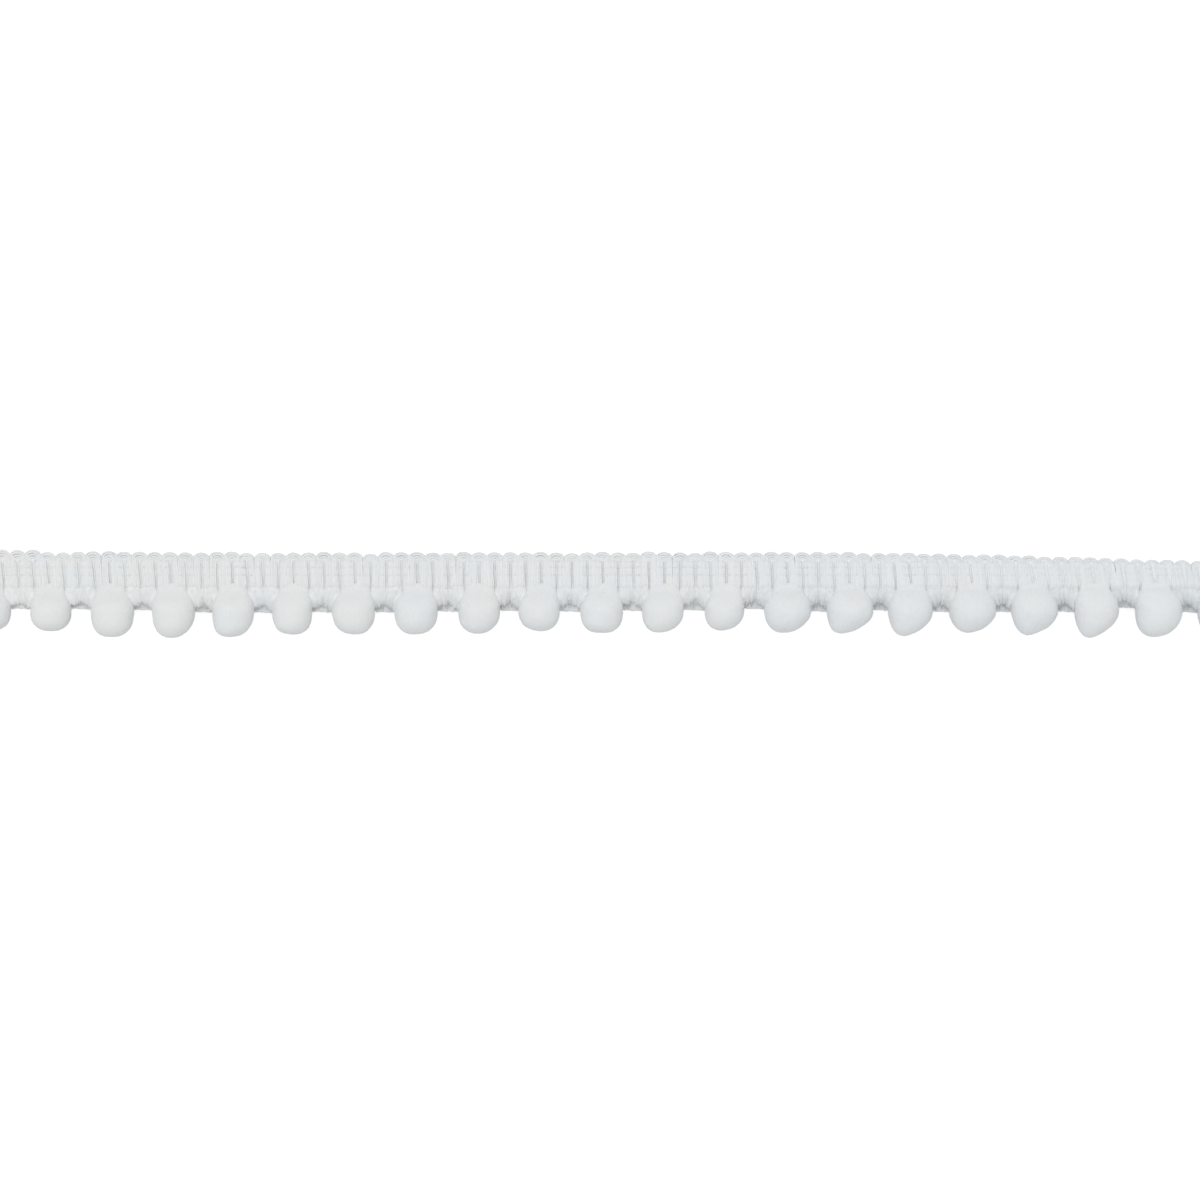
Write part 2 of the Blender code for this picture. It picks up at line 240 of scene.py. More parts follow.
# yarn: a soft tube along each strand
def makeYarnTree():
    tree, start, end = newTree("softYarn", "GeometryNodeTree", (
        ("Geometry", "NodeSocketGeometry", None),
        ("Sides", "NodeSocketInt", 6),
        ("Fluff", "NodeSocketFloat", 0.2),
        ("Fluff Size", "NodeSocketFloat", 0.3 * mm),
        ("Seed", "NodeSocketInt", 0),
        ("Material", "NodeSocketMaterial", None),
    ), (("Geometry", "NodeSocketGeometry"),))
    curve = addNode(tree, "GeometryNodeMeshToCurve", {"Mesh": start.outputs["Geometry"]})
    radius = addNode(tree, "GeometryNodeInputNamedAttribute", {"Name": "yarnRadius"},
                     data_type="FLOAT").outputs[0]
    along = addNode(tree, "GeometryNodeSplineParameter").outputs["Length"]
    marked = addNode(tree, "GeometryNodeStoreNamedAttribute", {
        "Geometry": curve.outputs[0], "Name": "yarnLength", "Value": along,
    }, data_type="FLOAT", domain="POINT")
    circle = addNode(tree, "GeometryNodeCurvePrimitiveCircle",
                     {"Resolution": start.outputs["Sides"], "Radius": 1.0})
    around = addNode(tree, "GeometryNodeSplineParameter").outputs["Factor"]
    markedCircle = addNode(tree, "GeometryNodeStoreNamedAttribute", {
        "Geometry": circle.outputs[0], "Name": "yarnTurn", "Value": around,
    }, data_type="FLOAT", domain="POINT")
    tube = addNode(tree, "GeometryNodeCurveToMesh", {
        "Curve": marked.outputs[0], "Profile Curve": markedCircle.outputs[0],
        "Scale": radius, "Fill Caps": True,
    })
    lumps = addNode(tree, "ShaderNodeTexNoise", {
        "Vector": addNode(tree, "GeometryNodeInputPosition").outputs[0],
        "W": start.outputs["Seed"],
        "Scale": addMath(tree, "DIVIDE", 1.0, start.outputs["Fluff Size"]),
        "Detail": 1.0,
    }, noise_dimensions="4D").outputs[0]
    swell = addMath(tree, "MULTIPLY", addMath(tree, "SUBTRACT", lumps, 0.5),
                    addMath(tree, "MULTIPLY", radius, start.outputs["Fluff"]))
    offset = addNode(tree, "ShaderNodeVectorMath", {
        0: addNode(tree, "GeometryNodeInputNormal").outputs[0], "Scale": swell,
    }, operation="SCALE")
    fluffed = addNode(tree, "GeometryNodeSetPosition",
                      {"Geometry": tube.outputs[0], "Offset": offset.outputs[0]})
    smooth = addNode(tree, "GeometryNodeSetShadeSmooth", {"Geometry": fluffed.outputs[0]})
    real = addNode(tree, "GeometryNodeRealizeInstances", {"Geometry": smooth.outputs[0]})
    painted = addNode(tree, "GeometryNodeSetMaterial",
                      {"Geometry": real.outputs[0], "Material": start.outputs["Material"]})
    tree.links.new(painted.outputs[0], end.inputs[0])
    return tree


def makeYarn(name, strands, material, sides=6, fluff=0.2, seed=0):
    # strands are (points, radii, shade); they come to lie on the floor, not in it
    points, radii, shades, edges = [], [], [], []
    for strandPoints, strandRadii, shade in strands:
        count = len(strandPoints)
        radiusAt = np.broadcast_to(strandRadii, count)
        laid = np.array(strandPoints) + trim["rootMiddle"]
        laid[:, 2] = np.maximum(laid[:, 2], radiusAt)
        first = len(points)
        points.extend(laid)
        radii.extend(radiusAt)
        shades.extend([shade] * count)
        edges.extend((first + i, first + i + 1) for i in range(count - 1))
    piece = newPiece(name, points, edges)
    keepNumbers(piece.data, "yarnRadius", radii)
    keepNumbers(piece.data, "yarnShade", shades)
    return grow(piece, yarnTree, {
        "Sides": sides, "Fluff": fluff, "Seed": seed, "Material": material,
    })


# fibres: short hairs that stand on a piece
def makeFibreTree():
    tree, start, end = newTree("standingFibres", "GeometryNodeTree", (
        ("Geometry", "NodeSocketGeometry", None),
        ("Density", "NodeSocketFloat", 5e7),
        ("Fibre Length", "NodeSocketFloat", 0.2 * mm),
        ("Length Spread", "NodeSocketFloat", 0.3),
        ("Fibre Radius", "NodeSocketFloat", 0.02 * mm),
        ("Splay", "NodeSocketFloat", 0.5),
        ("Lay", "NodeSocketFloat", 0.0),
        ("Seed", "NodeSocketInt", 0),
        ("Material", "NodeSocketMaterial", None),
    ), (("Geometry", "NodeSocketGeometry"),))
    share = addNode(tree, "GeometryNodeInputNamedAttribute", {"Name": "fibreShare"},
                    data_type="FLOAT").outputs[0]
    flow = addNode(tree, "GeometryNodeInputNamedAttribute", {"Name": "fibreFlow"},
                   data_type="FLOAT_VECTOR").outputs[0]
    scattered = addNode(tree, "GeometryNodeDistributePointsOnFaces", {
        "Mesh": start.outputs["Geometry"],
        "Density": addMath(tree, "MULTIPLY", share, start.outputs["Density"]),
        "Seed": start.outputs["Seed"],
    })
    splayed = addNode(tree, "FunctionNodeRandomValue", {
        0: (-1, -1, -1), 1: (1, 1, 1), "Seed": start.outputs["Seed"],
    }, data_type="FLOAT_VECTOR").outputs[0]
    aside = addNode(tree, "ShaderNodeVectorMath",
                    {0: splayed, "Scale": start.outputs["Splay"]}, operation="SCALE")
    down = addNode(tree, "ShaderNodeVectorMath",
                   {0: flow, "Scale": start.outputs["Lay"]}, operation="SCALE")
    leaning = addNode(tree, "ShaderNodeVectorMath",
                      {0: aside.outputs[0], 1: down.outputs[0]}, operation="ADD")
    heading = addNode(tree, "ShaderNodeVectorMath",
                      {0: scattered.outputs["Normal"], 1: leaning.outputs[0]}, operation="ADD")
    turned = addNode(tree, "FunctionNodeAlignRotationToVector",
                     {"Vector": heading.outputs[0]}, axis="Z")
    fibre = addNode(tree, "GeometryNodeMeshCone", {
        "Vertices": 3, "Radius Top": 0.0, "Radius Bottom": start.outputs["Fibre Radius"],
        "Depth": start.outputs["Fibre Length"],
    }, fill_type="NGON")
    spread = start.outputs["Length Spread"]
    longer = addNode(tree, "FunctionNodeRandomValue", {
        2: addMath(tree, "SUBTRACT", 1.0, spread), 3: addMath(tree, "ADD", 1.0, spread),
        "Seed": start.outputs["Seed"],
    }, data_type="FLOAT").outputs[1]
    size = addNode(tree, "ShaderNodeCombineXYZ", {"X": 1.0, "Y": 1.0, "Z": longer})
    standing = addNode(tree, "GeometryNodeInstanceOnPoints", {
        "Points": scattered.outputs["Points"], "Instance": fibre.outputs[0],
        "Rotation": turned.outputs[0], "Scale": size.outputs[0],
    })
    real = addNode(tree, "GeometryNodeRealizeInstances", {"Geometry": standing.outputs[0]})
    painted = addNode(tree, "GeometryNodeSetMaterial",
                      {"Geometry": real.outputs[0], "Material": start.outputs["Material"]})
    tree.links.new(painted.outputs[0], end.inputs[0])
    return tree


def makeFibres(name, ground, values, material, seed=0):
    piece = addToScene(name, ground.data.copy())
    return grow(piece, fibreTree, dict(values, Seed=seed, Material=material))


yarnTree = makeYarnTree()
fibreTree = makeFibreTree()


# finishes: white polyester yarn, spun and clipped
finish = {
    "white": (0.793, 0.825, 0.845),
    "warmWhite": (0.818, 0.827, 0.819),
    "driftSize": 5.0 * mm,  # over this length the colour drifts from one white to the other
    "driftDepth": 1.6,
    "warmest": 0.47,  # how warm it is on average halfway along
    "warmPerMetre": -3.5,  # and how that changes towards +x
    "fibreDetail": 4.0,  # how finely the fibres' streaks are broken up
    "fibreRough": 0.7,
    "streakShadeDepth": 0.12,  # how much darker the yarn is where its streaks lie low: painted shade between its fibres
    "shadeDepth": 0.05,  # how much darker a shade of 1 is than a shade of 0
    "roughness": (0.84, 0.96),  # between its fibres and on them
    "sheenRoughness": 0.5,
    "specular": 0.2,
    "bumpStrength": 0.6,
    "fibresAround": 9.0,  # streaks in one turn round a strand
    "fibreRun": 0.3 * mm,  # and the length of each
    "strandsApart": 60.0,  # how far a shade of 1 moves them, so no two strands match
    "pileRun": (0.18 * mm, 0.8 * mm, 0.3 * mm),  # the size of the pile's streaks in x, y and z
}


def makeWhiteGroup():
    tree, start, end = newTree("whiteYarn", "ShaderNodeTree", (
        ("Streaks", "NodeSocketVector", None),
        ("Shade", "NodeSocketFloat", 0.0),
    ), (
        ("Color", "NodeSocketColor"), ("Roughness", "NodeSocketFloat"), ("Height", "NodeSocketFloat"),
    ))
    place = addNode(tree, "ShaderNodeTexCoord").outputs["Object"]
    drift = addNode(tree, "ShaderNodeTexNoise", {
        "Vector": place, "Scale": 1.0 / finish["driftSize"], "Detail": 2.0,
    }).outputs[0]
    across = addNode(tree, "ShaderNodeSeparateXYZ", {"Vector": place}).outputs["X"]
    level = addMath(tree, "MULTIPLY_ADD", across, finish["warmPerMetre"],
                    finish["warmest"] - 0.5 * finish["driftDepth"])
    drift = addMath(tree, "MULTIPLY_ADD", drift, finish["driftDepth"], level)
    fibres = addNode(tree, "ShaderNodeTexNoise", {
        "Vector": start.outputs["Streaks"], "Scale": 1.0,
        "Detail": finish["fibreDetail"], "Roughness": finish["fibreRough"],
    }).outputs[0]
    # sockets 6 and 7 are the mix's two colours
    tone = addNode(tree, "ShaderNodeMix", {
        0: drift, 6: (*finish["white"], 1.0), 7: (*finish["warmWhite"], 1.0),
    }, data_type="RGBA").outputs[2]
    # painted shade between the fibres: darker where the streak noise, which is also the bump's
    # height, lies low
    streaked = addMath(tree, "MULTIPLY_ADD", fibres, finish["streakShadeDepth"],
                       1.0 - 0.5 * finish["streakShadeDepth"])
    # Shade darkens the colour: a random tone for each strand, and painted shade on the pompoms
    shaded = addMath(tree, "MULTIPLY_ADD", start.outputs["Shade"], -finish["shadeDepth"], streaked)
    color = addNode(tree, "ShaderNodeVectorMath", {0: tone, "Scale": shaded}, operation="SCALE")
    tree.links.new(color.outputs[0], end.inputs["Color"])
    smoothest, roughest = finish["roughness"]
    rough = addMath(tree, "MULTIPLY_ADD", fibres, roughest - smoothest, smoothest)
    tree.links.new(rough, end.inputs["Roughness"])
    tree.links.new(fibres, end.inputs["Height"])
    return tree


whiteGroup = makeWhiteGroup()


def makeWhite(name, makeStreaks, bumpHeight, sheen):
    material = bpy.data.materials.new(name)
    material.use_nodes = True
    tree = material.node_tree
    shader = tree.nodes["Principled BSDF"]
    shader.inputs["Sheen Weight"].default_value = sheen
    shader.inputs["Sheen Roughness"].default_value = finish["sheenRoughness"]
    shader.inputs["Specular IOR Level"].default_value = finish["specular"]
    group = addNode(tree, "ShaderNodeGroup", node_tree=whiteGroup)
    tree.links.new(makeStreaks(tree), group.inputs["Streaks"])
    shade = addNode(tree, "ShaderNodeAttribute", attribute_name="yarnShade").outputs["Fac"]
    tree.links.new(shade, group.inputs["Shade"])
    bump = addNode(tree, "ShaderNodeBump", {
        "Strength": finish["bumpStrength"], "Distance": bumpHeight,
        "Height": group.outputs["Height"],
    })
    tree.links.new(group.outputs["Color"], shader.inputs["Base Color"])
    tree.links.new(group.outputs["Roughness"], shader.inputs["Roughness"])
    tree.links.new(bump.outputs[0], shader.inputs["Normal"])
    return material


def yarnStreaks(tree):
    # fibres that run along each strand
    turn = addNode(tree, "ShaderNodeAttribute", attribute_name="yarnTurn").outputs["Fac"]
    length = addNode(tree, "ShaderNodeAttribute", attribute_name="yarnLength").outputs["Fac"]
    shade = addNode(tree, "ShaderNodeAttribute", attribute_name="yarnShade").outputs["Fac"]
    return addNode(tree, "ShaderNodeCombineXYZ", {
        "X": addMath(tree, "MULTIPLY", turn, finish["fibresAround"]),
        "Y": addMath(tree, "DIVIDE", length, finish["fibreRun"]),
        "Z": addMath(tree, "MULTIPLY", shade, finish["strandsApart"]),
    }).outputs[0]


def pileStreaks(tree):
    # the clipped pile's faint streaks, down each pompom
    place = addNode(tree, "ShaderNodeTexCoord").outputs["Object"]
    return addNode(tree, "ShaderNodeVectorMath", {
        0: place, 1: [1 / size for size in finish["pileRun"]],
    }, operation="MULTIPLY").outputs[0]


braidWhite = makeWhite("braidWhite", yarnStreaks, bumpHeight=0.05 * mm, sheen=0.15)
pileWhite = makeWhite("pileWhite", pileStreaks, bumpHeight=0.08 * mm, sheen=0.25)
print("finishes made")

# braid: loops of soft yarn, up one rib, over the groove and down the next
braid = {
    "frontPlaces": (0.145, 0.245, 0.345, 0.44),  # strands from groove to crown, in rib pitches
    "frontRadius": 0.16 * mm,
    "frontSpread": (0.92, 1.08),  # how much one strand's radius differs from another's
    "frontFluff": 0.5,
    "shades": (0.2, 1.2),
    "legPoints": 18,
    "arcPoints": 9,
    "arcRise": (0.24 * mm, 0.44 * mm),  # an arc's height over its legs, innermost and outermost
    "arcStep": 0.235,  # from one arc's crest to the next, in loop lengths
    "arcStepMost": 0.295 * mm,
    "start": -1.15 * mm,  # strands run on past the root line and sink into what they feed
    "sinkFrom": -0.25 * mm,
    "sinkSpread": (0.3, 1.7),
    "sink": 0.55 * mm,
    "cutShort": 0.3,  # how much of that run is left at the trim's two ends
    "turnOver": 0.50 * mm,  # how far up a rib takes to turn into a loop
    "uneven": 0.06,  # how much longer or shorter a loop is than its neighbours
    "aside": 0.04 * mm,
    "wander": 0.025 * mm,
    "backPlaces": (0.10, 0.26, 0.42),
    "backRadius": 0.19 * mm,
    "backSpread": (0.94, 1.06),
    "backFluff": 0.4,
    "backPoints": 10,
    "backStart": -0.80 * mm,
    "backReach": 0.35,  # how far up the loops the back goes, in loop lengths
    "backPinch": 0.020 * mm,
    "backRaise": 0.0665 * mm,  # how far the strand nearest a groove lies inside the others
}
loopCrownShares = ((0.0, 0.35, 0.75, 1.0), (0.9, 0.9, 1.0, 0.3))  # up a loop, and its crown there
stitch = {
    "rows": (1.00 * mm, 1.98 * mm, 2.76 * mm),  # up from the root line
    "reach": 0.16 * mm,  # how near a row the strands are pulled
    "pinch": 0.05 * mm,  # how far they are pulled in
    "pinched": (0.0, 1.0),  # how much of that each loop takes
    "gather": 0.06,  # how far they are pulled towards their rib's crown
    "radius": 0.045 * mm,
    "sway": 0.07 * mm,  # how far a thread goes up and down from rib to rib
    "frontWave": 0.0090 * mm,  # and in and out
    "backWave": 0.0135 * mm,
    "stepsPerRib": 6,
    "sides": 5,
}
core = {
    "stepsPerRib": 8,
    "endGap": 0.10 * mm,
    "raise": (-0.02 * mm, 0.08 * mm),  # how far it stands over the web, and at the +x end
    "raisePlaces": (35 * mm, 68 * mm),
    "crown": 0.20 * mm,
    "loopShare": 0.9,  # how much of the loops' crown it has
}
# The core's outline: past the root line, up the face, over the loops and down the back.
# Each row says how far up it lies, in rib lengths, mm and loop lengths, with more of these in a
# groove, and how far out from the ribs, the loops or the middle plane, with more in a groove.
coreColumns = ("ribs", "mm", "loops", "groove loops", "from", "out mm", "groove mm")
coreRows = (
    (0, -0.85, 0, 0, "middle", -0.25, 0),
    (0, -0.60, 0, 0, "rib", -0.30, 0),
    (0, -0.10, 0, 0, "rib", -0.03, 0),
    (0.5, 0, 0, 0, "rib", 0, 0),
    (1, -0.30, 0, 0, "rib", 0, 0),
    (1, -0.02, 0, 0, "rib", 0, 0.14),
    (1, 0.25, 0, 0, "loop", -0.13, 0),
    (1, 0, 0.40, 0, "loop", -0.17, 0),
    (1, 0, 0.45, 0.33, "middle", 0.05, 0),
    (1, 0, 0.40, 0.33, "middle", -0.10, 0),
    (1, 0, 0, 0, "middle", -0.25, 0),
    (0, -0.60, 0, 0, "middle", -0.25, 0),
)


def grooveX(groove):
    return -0.5 * trim["length"] + groove * trim["ribPitch"]


def ribPlace(x):
    # 0 in a groove and 0.5 on a rib's crown
    return np.abs((x / trim["ribPitch"] + 0.5 * trim["ribs"] + 0.5) % 1.0 - 0.5)


def stitchPull(up):
    # 1 at a row of thread and 0 away from it
    away = (np.asarray(up)[..., None] - np.array(stitch["rows"])) / stitch["reach"]
    return np.exp(-away ** 2).sum(axis=-1)


def faceOut(across, up, loop, pinched=1.0):
    # the braid's face over its middle plane; across is 0 in a groove and 0.5 on a rib
    rib = trim["webFace"] + trim["ribCrown"] * np.sqrt(np.sin(np.pi * across))
    share = np.clip((up - trim["ribLength"]) / loop, 0, 1)
    crown = np.interp(share, *loopCrownShares) * np.cos(np.pi * across)
    looped = trim["loopFace"] + trim["loopCrown"] * crown
    turning = ease((up - trim["ribLength"]) / braid["turnOver"] + 0.5)
    return mix(rib, looped, turning) - pinched * stitch["pinch"] * stitchPull(up)


def cutAtEnds(x, up):
    # the outermost ribs feed no tuft, so they stop short past the root line
    outermost = np.abs(x) > 0.5 * trim["length"] - trim["ribPitch"]
    return np.where((up < 0) & outermost, braid["cutShort"] * up, up)


def loopStrand(groove, rank, uneven, aside, pinched):
    # one strand of a loop: its left leg, its arc over the groove and its right leg
    x = grooveX(groove)
    half = braid["frontPlaces"][rank] * trim["ribPitch"]
    radius = braid["frontRadius"]
    loop = float(lie("loop mm", x)) * (1 + uneven)
    outer = len(braid["frontPlaces"]) - 1
    step = min(braid["arcStep"] * loop, braid["arcStepMost"])
    crest = trim["ribLength"] + loop - radius - (outer - rank) * step
    rise = mix(*braid["arcRise"], rank / outer)
    leg = np.linspace(braid["start"], crest - rise, braid["legPoints"], endpoint=False)
    turn = np.linspace(np.pi, 0, braid["arcPoints"])
    across = np.concatenate((-np.ones_like(leg), np.cos(turn), np.ones_like(leg)))
    up = np.concatenate((leg, crest - rise + rise * np.sin(turn), leg[::-1]))
    offset = half * across + aside * ease(up / trim["ribLength"])
    crown = np.where(across < 0, -0.5, 0.5) * trim["ribPitch"]
    pull = pinched * stitchPull(up) * stitch["gather"] * np.abs(across)
    offset = mix(offset, crown, pull)
    offset += wander(len(up), braid["wander"])
    inRib = np.clip(np.abs(offset) / trim["ribPitch"], 0.0, 0.5)
    sinkFrom = braid["sinkFrom"] * chance.uniform(*braid["sinkSpread"])
    sinking = (up - sinkFrom) / (braid["start"] - braid["sinkFrom"])
    out = faceOut(inRib, up, loop, pinched) - radius - braid["sink"] * ease(sinking)
    out = out + wander(len(up), braid["wander"])
    points = layOn(x + offset, cutAtEnds(x + offset, up), out)
    keep = np.ones(len(up), bool)
    if groove == 0:
        keep = across >= 0
    if groove == trim["ribs"]:
        keep = across <= 0
    radius *= chance.uniform(*braid["frontSpread"])
    return points[keep], radius, chance.uniform(*braid["shades"])


def backStrand(groove, side, place):
    # a strand of the flat back, along one side of a groove
    x = grooveX(groove) + side * place * trim["ribPitch"]
    radius = braid["backRadius"]
    top = trim["ribLength"] + braid["backReach"] * float(lie("loop mm", x))
    up = np.linspace(braid["backStart"], top, braid["backPoints"])
    out = radius - trim["back"] + braid["backPinch"] * stitchPull(up)
    if place == braid["backPlaces"][0]:
        out = out + braid["backRaise"]
    along = x + wander(len(up), braid["wander"])
    lift = ease((up - trim["ribLength"]) / (top - trim["ribLength"]))
    out = mix(out, radius - trim["edgeBack"], lift)
    radius *= chance.uniform(*braid["backSpread"])
    return layOn(along, cutAtEnds(x, up), out), radius, chance.uniform()


def stitchThread(height, phase, behind):
    # a fine thread that binds the ribs, over their crowns and down into the grooves
    count = trim["ribs"] * stitch["stepsPerRib"]
    x = np.linspace(-0.5 * trim["length"], 0.5 * trim["length"], count + 1)
    turn = 2 * np.pi * (x / trim["ribPitch"] - 0.5 * trim["ribs"])
    up = height + stitch["sway"] * np.sin(turn + phase)
    if behind:
        out = -trim["back"] - stitch["backWave"] * np.cos(turn)
    else:
        out = faceOut(ribPlace(x), up, lie("loop mm", x)) + stitch["frontWave"] * np.cos(turn)
    return layOn(x, up, out), stitch["radius"], chance.uniform()


def makeCore():
    # the inside of the braid: the web in its grooves and the band under the roots
    end = 0.5 * trim["length"] - core["endGap"]
    x = np.linspace(-end, end, core["stepsPerRib"] * trim["ribs"] + 1)
    loop = lie("loop mm", x)
    inGroove = np.cos(np.pi * ribPlace(x))
    face = trim["webFace"] + np.interp(x, core["raisePlaces"], core["raise"])
    faces = {
        "middle": 0.0,
        "rib": face + core["crown"] * np.sqrt(np.sin(np.pi * ribPlace(x))),
        "loop": trim["loopFace"] + core["loopShare"] * trim["loopCrown"] * inGroove,
    }
    corners = []
    for row in coreRows:
        at = dict(zip(coreColumns, row))
        up = at["ribs"] * trim["ribLength"] + at["mm"] * mm
        up = up + (at["loops"] + at["groove loops"] * inGroove ** 2) * loop
        out = faces[at["from"]] + (at["out mm"] + at["groove mm"] * inGroove ** 2) * mm
        corners.append(layOn(x, up, out))
    rings = np.stack(corners, axis=1)
    return loft("braidCore", [rings + trim["rootMiddle"]], braidWhite)


frontStrands, backStrands = [], []
for groove in range(trim["ribs"] + 1):
    uneven = chance.normal(0, braid["uneven"])
    aside = chance.normal(0, braid["aside"])
    pinched = chance.uniform(*stitch["pinched"])
    for rank in range(len(braid["frontPlaces"])):
        frontStrands.append(loopStrand(groove, rank, uneven, aside, pinched))
    for side in (-1, 1):
        if 0 <= groove + 0.5 * side <= trim["ribs"]:
            backStrands.extend(backStrand(groove, side, place) for place in braid["backPlaces"])
braidFront = makeYarn("braidLoops", frontStrands, braidWhite, fluff=braid["frontFluff"], seed=1)
braidBack = makeYarn("braidBack", backStrands, braidWhite, fluff=braid["backFluff"], seed=2)
braidCore = makeCore()
stitches = []
for height in stitch["rows"]:
    stitches.extend(stitchThread(height, phase, behind=False) for phase in (0.0, np.pi))
    stitches.append(stitchThread(height, 0.5 * np.pi, behind=True))
braidStitches = makeYarn("braidStitches", stitches, braidWhite, sides=stitch["sides"], fluff=0.0)
print("braid made")

# pompoms: balls of clipped pile, each one swelling out of two ribs
ball = {
    "segments": 48,
    "neckRings": 18,
    "ballRings": 22,
    "start": -0.02 * mm,  # from here on, places are how far below the root line they lie
    "joinedEnd": 0.55 * mm,  # where its two ribs have joined
    "ribbedEnd": 1.50 * mm,  # where their outer sides have smoothed out
    "under": 0.12 * mm,  # how far it starts under the braid's face
    "outEnd": 1.40 * mm,  # where it has come out to it
    "neckHalfWidth": 1.76 * mm,
    "neckHalfHeight": 0.58 * mm,
    "neckEnd": 0.60 * mm,
    "flareEnd": 2.75 * mm,  # where it has its full width, and then its full height
    "widest": 3.36 * mm,
    "heightShare": 0.95,  # its height over its width
    "squareness": (3.0, 2.0),  # a neck's and a ball's, where 2 is round
    "flatSpot": 0.25 * mm,  # how much of its height it rests on
    "lump": 0.06 * mm,
    "lumpSize": 1.4 * mm,
    "pileDeep": 0.06 * mm,  # how far the pile stands over the body
    "pileGround": 0.50 * mm,  # how high over the flat spot the pile is as thick as elsewhere
    "pilePlaces": (-0.10 * mm, 0.50 * mm),  # where the pile starts and is as thick as elsewhere
    "pileLies": (2.0, 0.8),  # how much it lies down, at the roots and on the ball
    "liesEnd": 4.0 * mm,
    "paintedShadePlaces": (0.0, 0.9 * mm, 3.2 * mm, 5.8 * mm),  # painted shade on the pile, from its roots to its tip: darker near the roots and over the body, none at the tip
    "shades": (1.15, 0.85, 0.80, 0.0),
    "groups": 3,
    "seed": 5,
}
# One row for each pompom: its middle against even spacing, its width, how far it hangs below the
# root line, its lowest point against its middle, how full its lower half is, and how far down
# the bridge on its +x side ends
ballColumns = ("shift", "width", "hang", "tip", "fullness", "bridge")
ballRows = (
    (0.25, 4.90, 5.7, 0.00, 2.2, 3.0),
    (0.11, 4.95, 5.7, 0.00, 2.4, 3.0),
    (0.18, 5.20, 6.4, -0.15, 2.5, 3.1),
    (0.14, 5.20, 6.5, -0.30, 2.2, 3.4),
    (-0.07, 5.05, 6.4, -0.40, 2.5, 3.45),
    (-0.35, 4.85, 6.1, 0.00, 2.6, 3.4),
    (-0.34, 5.20, 6.1, 0.10, 2.3, 3.4),
    (-0.19, 5.25, 6.1, -0.10, 2.3, 3.3),
    (0.00, 5.05, 6.0, -0.20, 2.2, 3.25),
    (-0.16, 5.05, 5.7, 0.20, 2.2, 3.3),
    (0.00, 5.15, 5.9, 0.00, 2.6, 3.2),
    (0.00, 5.05, 5.9, -0.45, 2.1, 3.15),
    (0.02, 4.80, 5.6, -0.35, 2.1, 3.0),
    (0.23, 5.65, 5.9, -0.50, 1.95, 3.3),
    (0.37, 5.60, 6.0, -1.10, 1.85, 3.15),
    (0.26, 5.40, 6.3, -0.80, 1.8, 3.35),
    (0.35, 5.65, 5.9, -0.55, 1.85, 3.35),
    (0.43, 5.65, 6.2, -0.80, 1.7, 3.35),
    (0.52, 5.40, 6.5, -0.90, 1.7, 2.85),
    (0.59, 5.65, 6.4, -0.50, 2.1, 3.4),
    (0.62, 5.50, 6.2, -0.50, 2.0, 3.3),
)
pile = {
    "Density": 6.2e7,
    "Fibre Length": 0.13 * mm,
    "Length Spread": 0.4,
    "Fibre Radius": 0.011 * mm,
    "Splay": 0.5,
    "Lay": 0.8,
}


def pompom(index):
    values = dict(zip(ballColumns, ballRows[index]))
    roots = (index - 0.5 * (trim["pompoms"] - 1)) * trim["pompomPitch"]
    drift = float(lie("drift mm", roots))
    return {
        "roots": roots,
        "drift": drift,
        "rootsAt": roots + drift,
        "middle": roots + values["shift"] * mm,
        "halfWidth": 0.5 * values["width"] * mm - ball["pileDeep"],
        "hang": values["hang"] * mm - ball["pileDeep"],
        "tip": values["tip"] * mm,
        "fullness": values["fullness"],
        "bridge": values["bridge"] * mm,
    }


def swellTo(below, end):
    # how far from neck to ball it has swollen
    return ease((below - ball["neckEnd"]) / (end - ball["neckEnd"]))


def ballSide(size, below):
    # a pompom's middle and half width, this far below the root line
    middle = mix(size["rootsAt"], size["middle"], swellTo(below, ball["widest"]))
    return middle, mix(ball["neckHalfWidth"], size["halfWidth"], swellTo(below, ball["flareEnd"]))


def pompomRing(middle, halfWidth, halfHeight, squareness=ball["squareness"][1], slope=0.0,
               ribbed=0.0, joined=1.0, under=0.0):
    # a rounded ring across a pompom; a ribbed one has the braid's two ribs on top
    turn = 2 * np.pi * (np.arange(ball["segments"]) + 0.5) / ball["segments"]
    side = np.sign(np.sin(turn)) * np.abs(np.sin(turn)) ** (2 / squareness) * halfWidth
    rise = np.sign(np.cos(turn)) * np.abs(np.cos(turn)) ** (2 / squareness) * halfHeight
    crown = np.sqrt(np.sin(np.pi * ribPlace(side)))
    crown = mix(crown, 1.0, joined * (np.abs(side) < 0.5 * trim["ribPitch"]))
    rib = trim["webFace"] + trim["ribCrown"] * crown - under
    rise = np.where(rise > 0, mix(rise, rib, ribbed), rise)
    ring = np.stack((side, rise * np.sin(slope), rise * np.cos(slope)), axis=-1)
    return ring + middle


